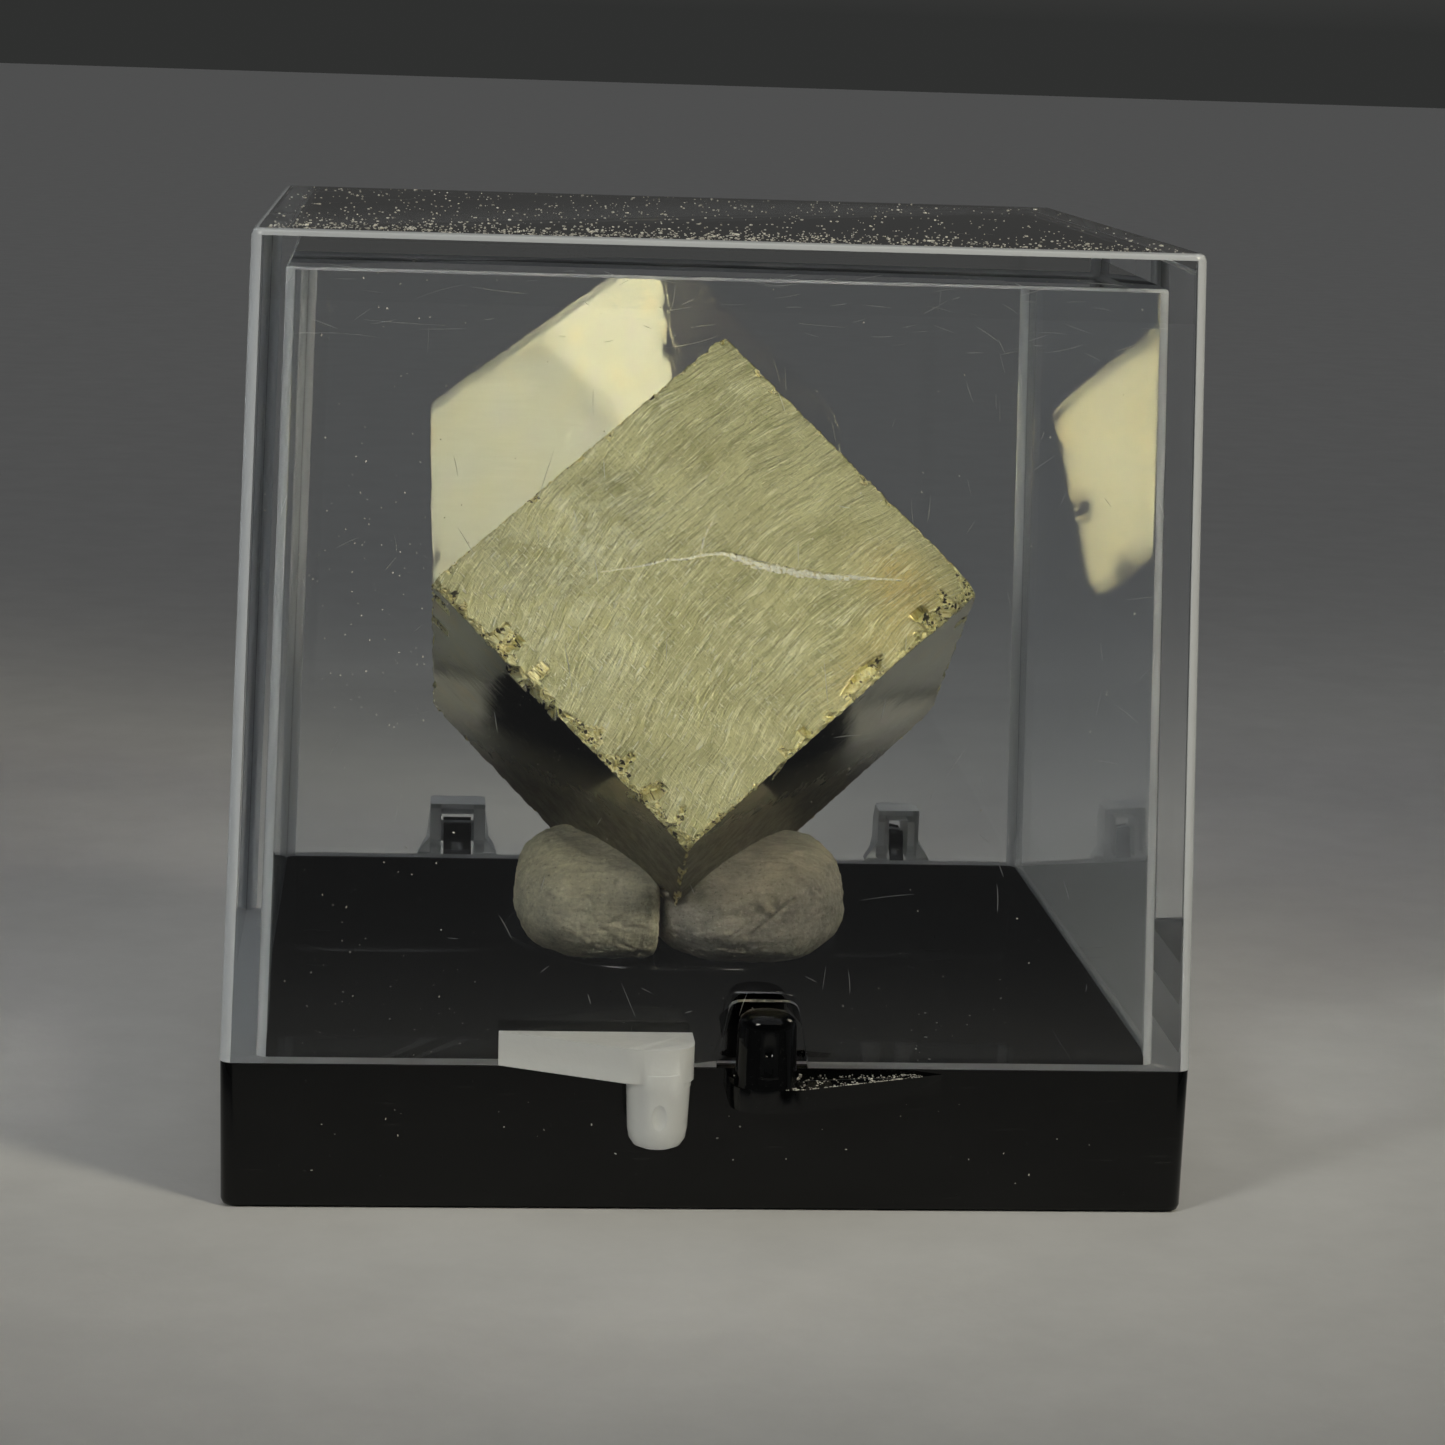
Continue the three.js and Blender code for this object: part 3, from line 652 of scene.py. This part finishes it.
    # How the hair scratches run: across the front face in long curves.
    u, v = start[:, 0], start[:, 1]
    flow = -u + 0.12 * v + 0.022 * v * v + 0.30 * rumple(start, 3.4, 2, seed=3.0)
    hair = np.stack([v, flow, start[:, 2]], axis=1)
    amber = (np.exp(-(((u - 4.4) / 1.5) ** 2 + ((v + 5.0) / 1.1) ** 2))
             + 0.5 * np.exp(-(((u - 5.6) / 0.9) ** 2 + ((v + 2.4) / 2.4) ** 2)))
    pale = (np.exp(-(((u + 4.0) / 2.2) ** 2 + ((v - 2.4) / 2.6) ** 2))
            + 0.5 * np.exp(-(((u + 0.5) / 2.0) ** 2 + ((v - 4.6) / 1.5) ** 2)))
    for name, values in (("crystal_mm", start), ("hair", hair)):
        mesh.attributes.new(name, "FLOAT_VECTOR", "POINT").data.foreach_set(
            "vector", values.astype(np.float32).ravel()
        )
    dull = ((u < -a + 0.01) | (v < -b + 0.01) | (start[:, 2] > c - 0.01)) * 1.0
    # Painted shade on the faces near the putty: stronger the lower the point, up to 0.9.
    painted_shade = np.minimum((13.8 - to_mm[:, 2]) / 3.0, 0.9)
    for name, values in (
        ("amber", amber), ("pale", pale), ("crack", crack), ("dull", dull), ("painted_shade", painted_shade)
    ):
        mesh.attributes.new(name, "FLOAT", "POINT").data.foreach_set(
            "value", np.clip(values, 0, 1).astype(np.float32)
        )
    return piece(
        "pyrite_cube", mesh, [pyrite_front(), pyrite_side(), pyrite_break()], "base",
        ["pyrite_crystal"]
    )


# ---------------------------------------------------------------- the putty

def keep_off_cube(p, gap):
    """Points that would be inside the crystal are moved out to its nearest lower face."""
    local = (p - CUBE_CENTRE) @ AXES
    over = CUBE_HALF + gap - np.abs(local)
    inside = (over > 0).all(axis=1)
    side = np.argmin(np.where(local[:, :3] > 0, over, over + np.array([50, 50, 0])), axis=1)
    for axis in range(3):
        pick = inside & (side == axis)
        local[pick, axis] += np.sign(local[pick, axis]) * over[pick, axis]
    return local @ AXES.T + CUBE_CENTRE


def putty_lobe(name, centre, across, rise, is_left, material, node, seed):
    """One squashed lump: half its width and depth, and how far it rises and sags."""
    bm = bmesh.new()
    bmesh.ops.create_icosphere(bm, subdivisions=7, radius=1.0)
    p = np.array([v.co[:] for v in bm.verts])
    unit = p.copy()
    height = np.where(p[:, 2] > 0, rise[0], rise[1])
    radius = np.stack([np.full(len(p), across[0]), np.full(len(p), across[1]), height], axis=1)
    p = p / (np.abs(p) ** 2.6).sum(axis=1)[:, None] ** (1 / 2.6)
    p = p * radius + np.array(centre)
    streak = np.array([0.80, 0.42, 0.42]) if not is_left else np.array([0.75, 0.5, -0.42])
    streak /= np.linalg.norm(streak)
    along = p @ streak
    squeezed = p - 0.9 * along[:, None] * streak
    swell = (0.16 * rumple(p, 2.0, 2, seed) + 0.04 * rumple(squeezed, 0.34, 3, seed + 1)
             + 0.045 * rumple(p, 0.26, 3, seed + 2))
    swell -= 0.10 * np.clip(rumple(squeezed, 0.75, 2, seed + 5) - 0.30, 0, 0.6)
    rng = np.random.default_rng(int(seed * 7) + 3)
    for _ in range(70):
        q = rng.normal(0, 1, 3)
        q = q / np.linalg.norm(q) * np.array([across[0], across[1], rise[0]]) + centre
        r = rng.uniform(0.05, 0.15)
        swell -= 0.8 * r * np.exp(-(np.linalg.norm(p - q, axis=1) / r) ** 2)
    if not is_left:
        # Two slanting grooves that a tool left across the front.
        for start, end, width, deep in (
            ((2.0, -6.3, 7.0), (3.5, -6.1, 8.3), 0.07, 0.16),
            ((1.3, -6.4, 7.0), (2.0, -6.4, 7.5), 0.05, 0.07),
            ((3.4, -6.0, 7.0), (4.3, -5.4, 7.5), 0.06, 0.09)
        ):
            s0, s1 = np.array(start), np.array(end)
            t = np.clip(((p - s0) @ (s1 - s0)) / ((s1 - s0) @ (s1 - s0)), 0, 1)
            gap = (p - s0 - t[:, None] * (s1 - s0))[:, [0, 2]]
            ragged = width * (1 + 0.5 * rumple(p, 0.2, 2, 4.4))
            near = np.exp(-(np.linalg.norm(gap, axis=1) / ragged) ** 2) * (p[:, 1] < centre[1])
            swell -= deep * near
    p += unit * swell[:, None]
    if is_left:
        room = PUTTY_SEAM - 0.01 + 0.06 * rumple(p, 0.5, 2, 8.0) - p[:, 0]
        p[:, 0] += room - 0.13 * np.logaddexp(0, room / 0.13)
    else:
        room = p[:, 0] - PUTTY_SEAM - 0.01 + 0.06 * rumple(p, 0.5, 2, 9.0)
        p[:, 0] -= room - 0.13 * np.logaddexp(0, room / 0.13)
    p = keep_off_cube(p, -0.03)
    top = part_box("pedestal")[1].z / MM
    p[:, 2] = np.maximum(p[:, 2], top + 0.01)
    for v, q in zip(bm.verts, p * MM):
        v.co = q
    for f in bm.faces:
        f.smooth = True
    return piece(name, mesh_from(bm, name), [material], "base", [node])


# ---------------------------------------------------------------- pedestal, tray and lid

def pedestal_puck():
    low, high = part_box("pedestal")
    x, y = (low.x + high.x) / 2, (low.y + high.y) / 2
    r = (high.x - low.x) / 2
    soft = 0.16 * MM
    bm = bmesh.new()
    profile = [(0, low.z), (r, low.z), (r - 0.06 * MM, high.z - soft)]
    profile += [
        (r - 0.06 * MM - soft + soft * math.cos(t), high.z - soft + soft * math.sin(t))
        for t in np.linspace(0, math.pi / 2, 7)[1:]
    ]
    profile += [(r * 0.5, high.z - 0.02 * MM), (0, high.z - 0.02 * MM)]
    verts = [bm.verts.new((x + px, y, pz)) for px, pz in profile]
    edges = [bm.edges.new(pair) for pair in zip(verts, verts[1:])]
    bmesh.ops.spin(
        bm, geom=verts + edges, cent=(x, y, 0), axis=(0, 0, 1), angle=math.tau, steps=128,
        use_merge=True
    )
    bmesh.ops.remove_doubles(bm, verts=bm.verts, dist=1e-7)
    bmesh.ops.recalc_face_normals(bm, faces=bm.faces)
    for f in bm.faces:
        f.smooth = True
    mesh = mesh_from(bm, "pedestal_puck")
    mesh.set_sharp_from_angle(angle=math.radians(40))
    return piece("pedestal_puck", mesh, [black_plastic()], "base", ["pedestal"])


def moulding(node, name, materials, body, pick=None, soften=0.05):
    """A moulding made from its CAD solid, with its edges slightly softened as moulded edges are."""
    bm = bmesh.new()
    bm.from_mesh(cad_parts[node].data)
    bmesh.ops.remove_doubles(bm, verts=bm.verts, dist=2e-7)
    bmesh.ops.dissolve_limit(
        bm, angle_limit=math.radians(0.5), verts=bm.verts, edges=bm.edges, delimit=set()
    )
    sharp = [
        e for e in bm.edges if len(e.link_faces) == 2 and e.calc_face_angle() > math.radians(32)
    ]
    rounded = bmesh.ops.bevel(
        bm, geom=sharp, offset=soften * MM, offset_type="OFFSET", segments=2, profile=0.5,
        affect="EDGES", clamp_overlap=True, material=-1
    )["faces"]
    rounded = set(rounded)
    bmesh.ops.triangulate(bm, faces=[f for f in bm.faces if len(f.verts) > 4 and f not in rounded])
    for f in bm.faces:
        f.smooth = True
        if pick:
            f.material_index = pick(f.calc_center_median() / MM, f.normal, f in rounded)
    mesh = mesh_from(bm, name)
    mesh.set_sharp_from_angle(angle=math.radians(50))
    o = piece(name, mesh, materials, body, [node])
    even = o.modifiers.new("even_normals", "WEIGHTED_NORMAL")
    even.keep_sharp = True
    even.weight = 100
    return o


def tray():
    return moulding("tray_base", "black_tray", [black_plastic()], "base")


def lid():
    wall = clear_plastic("clear_polystyrene", 0.0, (0.965, 0.98, 0.985))
    # The clear tab and pegs: matt, and whitish as a painted glow in place of the lamps' light
    # inside the plastic.
    tab = clear_plastic("clear_polystyrene_matt_and_glow", 0.12, (0.95, 0.97, 0.96), 0.03, 0.32)
    # Rounded edges: whitish, as a painted highlight along them.
    edge_glint = clear_plastic("clear_polystyrene_edge_glint", 0.22, (0.86, 0.90, 0.95), 0.0, 0.35)
    # Inner left wall: partly whitish and blue, as painted glare.
    painted_glare_left = clear_plastic("clear_polystyrene_painted_glare_left", 0.03, (0.82, 0.90, 1.0), 0.0, 0.50)
    # Bottom faces of the lid's foot and its low back: dull and whitish, as a painted bright line
    # along the foot.
    foot_glint = clear_plastic("clear_polystyrene_foot_glint", 0.40, (0.96, 0.97, 0.98), 0.0, 0.15)
    # Inner right wall: a fainter painted glare.
    painted_glare_right = clear_plastic("clear_polystyrene_painted_glare_right", 0.02, (0.88, 0.94, 1.0), 0.0, 0.88)

    def pick(p, n, is_rounded):
        # The foot's bottom faces take the painted bright line.
        if p.z < 4.95 and n.z < -0.9:
            return FOOT_GLINT
        if p.y < -15.98 and p.z < 6.1:
            return EDGE_GLINT if is_rounded else TAB
        if p.y > 15.95 and p.z < 7.2:
            return FOOT_GLINT
        # Rounded and slanted faces take the painted edge highlight.
        if is_rounded or max(abs(n.x), abs(n.y), abs(n.z)) < 0.965:
            return EDGE_GLINT
        # The inner side walls take the painted glare.
        if -14.9 < p.x < -13.5 and n.x > 0.9:
            return PAINTED_GLARE_LEFT
        if 13.5 < p.x < 14.9 and n.x < -0.9:
            return PAINTED_GLARE_RIGHT
        return WALL

    return moulding(
        "clear_lid", "clear_lid_moulding", [wall, tab, edge_glint, painted_glare_left, foot_glint, painted_glare_right], "lid",
        pick=pick
    )


# ---------------------------------------------------------------- dust and scuffs

def flakes(name, places, body):
    """Tiny flat crumbs of dust. A place is a point, a direction and a size in millimetres."""
    rng = np.random.default_rng(5)
    bm = bmesh.new()
    for point, n, size in places:
        facing = Vector(n).to_track_quat("Z", "Y").to_matrix().to_4x4()
        turn = facing @ Matrix.Rotation(rng.uniform(0, math.tau), 4, "Z")
        length = size * rng.uniform(0.5, 1.5) * MM
        width = size * rng.uniform(0.4, 1.0) * MM
        shape = Matrix.Diagonal((length, width, size * 0.35 * MM, 1))
        place = Matrix.Translation(Vector(point) * MM) @ turn @ shape
        bmesh.ops.create_icosphere(bm, subdivisions=1, radius=0.5, matrix=place)
    return piece(name, mesh_from(bm, name), [dust_finish()], body)


def lid_dust():
    rng = np.random.default_rng(21)
    places = []
    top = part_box("clear_lid")[1].z / MM
    for _ in range(2300):
        x = rng.uniform(-14.6, 14.6)
        if rng.random() > np.interp(x, [-14.6, 2, 10, 14.6], [1.0, 0.9, 0.5, 0.4]):
            continue
        y = -14.9 + abs(rng.normal(0, 3.0)) if rng.random() < 0.6 else rng.uniform(-14.5, 14.5)
        size = rng.uniform(0.035, 0.10) if rng.random() < 0.93 else rng.uniform(0.11, 0.18)
        places.append(((x, min(y, 14.5), top + 0.006), (0, 0, 1), size))
    for _ in range(330):
        z = rng.uniform(6.5, 30.3)
        lean = LID_DRAFT * (z - LID_FOOT) / LID_HEIGHT
        pick = rng.random()
        x = rng.uniform(-14, 14) if pick < 0.5 else rng.normal(-11, 1.7)
        if pick > 0.75:
            z = rng.normal(20.5, 2.2)
            lean = LID_DRAFT * (z - LID_FOOT) / LID_HEIGHT
        point = (float(np.clip(x, -14.6, 14.6)), -BOX_HALF + lean - 0.006, z)
        places.append((point, (0, -1, 0), rng.uniform(0.02, 0.065)))
    return flakes("lid_dust", places, "lid")


def base_dust():
    rng = np.random.default_rng(8)
    places = []
    for _ in range(420):
        x, y = rng.uniform(-14, 14), rng.uniform(-14, 14)
        size = rng.uniform(0.02, 0.06) if rng.random() < 0.85 else rng.uniform(0.07, 0.12)
        places.append(((x, y, TRAY_FLOOR), (0, 0, 1), size))
    for _ in range(45):
        x = rng.uniform(-14, 14)
        places.append(((x, -15.835, rng.uniform(0.6, 4.4)), (0, -1, 0), rng.uniform(0.03, 0.09)))
    for _ in range(420):
        t = rng.random() ** 1.3
        x = 0.75 + 6.2 * t
        reach = np.interp(x, [0.7, 1.6, 2.9, 7.6], [1.3, 2.1, 1.95, 0.0])
        side = rng.random()
        y = -15.9 - reach * (1.0 - 0.06 * side if side < 0.45 else rng.uniform(0.05, 0.95))
        if math.hypot(x - 1.7, y + 17.05) > 1.05:
            places.append(((x, y, TAB_TOP), (0, 0, 1), rng.uniform(0.03, 0.09)))
    return flakes("tray_dust", places, "base")


def scuff_finish():
    material, tree, bsdf = finish("scuff")
    place = add(tree, "TexCoord").outputs["Object"]
    shade = grain(tree, place, 2500, detail=2)
    tone = blend_colours(
        tree, span(tree, shade, 0.35, 0.65), (0.45, 0.47, 0.48), (0.80, 0.83, 0.85)
    )
    tree.links.new(tone, bsdf.inputs["Base Color"])
    bsdf.inputs["Roughness"].default_value = 0.5
    bsdf.inputs["Transmission Weight"].default_value = 0.8
    return material


def lid_scratches():
    """Hair-thin scratches on the outside of the lid: bent ribbons on its front wall and top."""
    rng = np.random.default_rng(33)
    bm = bmesh.new()
    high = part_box("clear_lid")[1].z / MM
    lean = math.atan(LID_DRAFT / LID_HEIGHT)
    for i in range(200):
        length = rng.uniform(0.25, 1.0) if rng.random() < 0.85 else rng.uniform(1.0, 2.6)
        width = rng.uniform(0.006, 0.013)
        bend = rng.normal(0, 0.02) * length
        turn = rng.uniform(0, math.pi)
        if i < 160:
            x, z = rng.uniform(-14, 14), rng.uniform(6.5, 30.0)
            if rng.random() < 0.4:
                z = rng.uniform(28.2, 30.6)
                turn = rng.normal(0, 0.25)
            elif rng.random() < 0.5:
                turn = math.pi / 2 + rng.normal(0, 0.3)
            y = -BOX_HALF + (z - LID_FOOT) * math.tan(lean) - 0.007
            upright = Matrix.Rotation(math.pi / 2 - lean, 4, "X")
            place = Matrix.Translation((x, y, z)) @ upright @ Matrix.Rotation(turn, 4, "Z")
        else:
            x, y = rng.uniform(-14, 14), rng.uniform(-14, 14)
            place = Matrix.Translation((x, y, high + 0.004)) @ Matrix.Rotation(turn, 4, "Z")
        made = bmesh.ops.create_grid(bm, x_segments=7, y_segments=1, size=0.5)["verts"]
        for v in made:
            t = v.co.x * 2
            across = v.co.y * 2 * width * (1.0 - 0.9 * t * t) + bend * (1 - t * t)
            v.co = place @ Vector((v.co.x * length, across, 0.0))
            v.co = v.co * MM
    return piece(
        "lid_scratches", mesh_from(bm, "lid_scratches"), [scuff_finish()], "lid"
    )


# ---------------------------------------------------------------- floor, lights and camera

def stage_floor():
    bm = bmesh.new()
    bmesh.ops.create_grid(bm, x_segments=8, y_segments=8, size=2.5)
    bmesh.ops.translate(bm, verts=bm.verts, vec=(0, 0, -0.00003))
    o = bpy.data.objects.new("floor", mesh_from(bm, "floor"))
    bpy.context.scene.collection.objects.link(o)
    o.data.materials.append(paper_floor())


def softbox(name, direction, distance, size, glow, along=(1, 0, 0), tint=(1, 1, 1), grid=180):
    """A soft studio light that looks at the middle of the box. Glow is how bright its surface is,
    and grid how wide it throws."""
    light = bpy.data.lights.new(name, "AREA")
    light.spread = math.radians(grid)
    light.shape = "RECTANGLE"
    light.size, light.size_y = size
    half = math.radians(grid) / 2
    narrow = 1.0 - half / math.tan(half) if grid < 180 else 1.0
    light.energy = glow * math.pi * size[0] * size[1] * narrow
    light.color = tint
    out = Vector(direction).normalized()
    x = Vector(along)
    x = (x - out * x.dot(out)).normalized()
    y = out.cross(x)
    o = bpy.data.objects.new(name, light)
    spot = Vector((0, 0, 0.016)) + out * distance
    o.matrix_world = Matrix.Translation(spot) @ Matrix((x, y, out)).transposed().to_4x4()
    bpy.context.scene.collection.objects.link(o)
    o.visible_camera = False
    return o


def lights():
    softbox(
        "left_softbox", (-0.628, -0.629, 0.458), 0.19, (0.055, 0.055), 12.5, tint=(1.0, 0.99, 0.91),
        grid=26
    )
    softbox(
        "right_softbox", (0.613, -0.613, 0.498), 0.19, (0.045, 0.045), 25.0, tint=(1.0, 0.93, 0.74),
        grid=26
    )
    softbox("key_softbox", (-0.02, -0.62, 0.78), 0.19, (0.09, 0.07), 1.75, grid=30)
    sky = bpy.data.lights.new("overhead", "SUN")
    sky.energy, sky.angle = 0.175, math.radians(70)
    overhead = bpy.data.objects.new("overhead", sky)
    bpy.context.scene.collection.objects.link(overhead)
    softbox("back_softbox", (0.15, 0.62, 0.78), 0.22, (0.14, 0.05), 0.4, grid=40)
    world = bpy.data.worlds.new("dim_room")
    world.use_nodes = True
    tree = world.node_tree
    height = add(
        tree, "SeparateXYZ", {"Vector": add(tree, "TexCoord").outputs["Generated"]}
    ).outputs["Z"]
    glow = blend_colours(
        tree, span(tree, height, 0.005, 0.035), (0.016, 0.0165, 0.016), (0.030, 0.030, 0.029)
    )
    glow = blend_colours(tree, span(tree, height, 0.07, 0.16), glow, (0.0025, 0.003, 0.0035))
    tree.links.new(glow, tree.nodes["Background"].inputs["Color"])
    bpy.context.scene.world = world


def camera():
    lens = bpy.data.cameras.new("camera")
    lens.sensor_width, lens.lens = SENSOR_MM, LENS_MM
    lens.clip_start, lens.clip_end = 0.005, 10.0
    yaw, pitch, roll = CAMERA_YAW, CAMERA_PITCH, CAMERA_ROLL
    forward = np.array(
        [math.sin(yaw) * math.cos(pitch), math.cos(yaw) * math.cos(pitch), -math.sin(pitch)]
    )
    level = np.array([math.cos(yaw), -math.sin(yaw), 0.0])
    down = np.cross(forward, level)
    right = math.cos(roll) * level + math.sin(roll) * down
    down = -math.sin(roll) * level + math.cos(roll) * down
    o = bpy.data.objects.new("camera", lens)
    turn = Matrix((right, -down, -forward)).transposed().to_4x4()
    o.matrix_world = Matrix.Translation(CAMERA_PLACE) @ turn
    bpy.context.scene.collection.objects.link(o)
    bpy.context.scene.camera = o


camera()
stage_floor()
lights()
# Little light gets in through the clear lid, so the view is brightened, and light that comes
# through clear plastic after a dull surface is left nearly sharp.
bpy.context.scene.view_settings.view_transform = "Standard"
bpy.context.scene.view_settings.exposure = 0.85
bpy.context.scene.cycles.blur_glossy = 0.1

pyrite_cube()
warm = putty_finish("putty_warm", (0.70, 0.65, 0.49), (0.46, 0.43, 0.325), (0.35, 0.5, 0.5))
grey = putty_finish("putty_grey", (0.46, 0.43, 0.36), (0.29, 0.27, 0.23), (-0.4, -0.45, 0.45))
putty_lobe(
    "putty_left", (-2.95, -2.0, 7.6), (3.15, 4.4), (2.2, 2.1), True, warm, "putty_left_lobe", 1.0
)
putty_lobe(
    "putty_right", (2.02, -2.0, 7.5), (3.63, 4.5), (2.3, 2.0), False, grey, "putty_right_lobe", 2.0
)
pedestal_puck()
tray()
lid()
lid_dust()
lid_scratches()
base_dust()
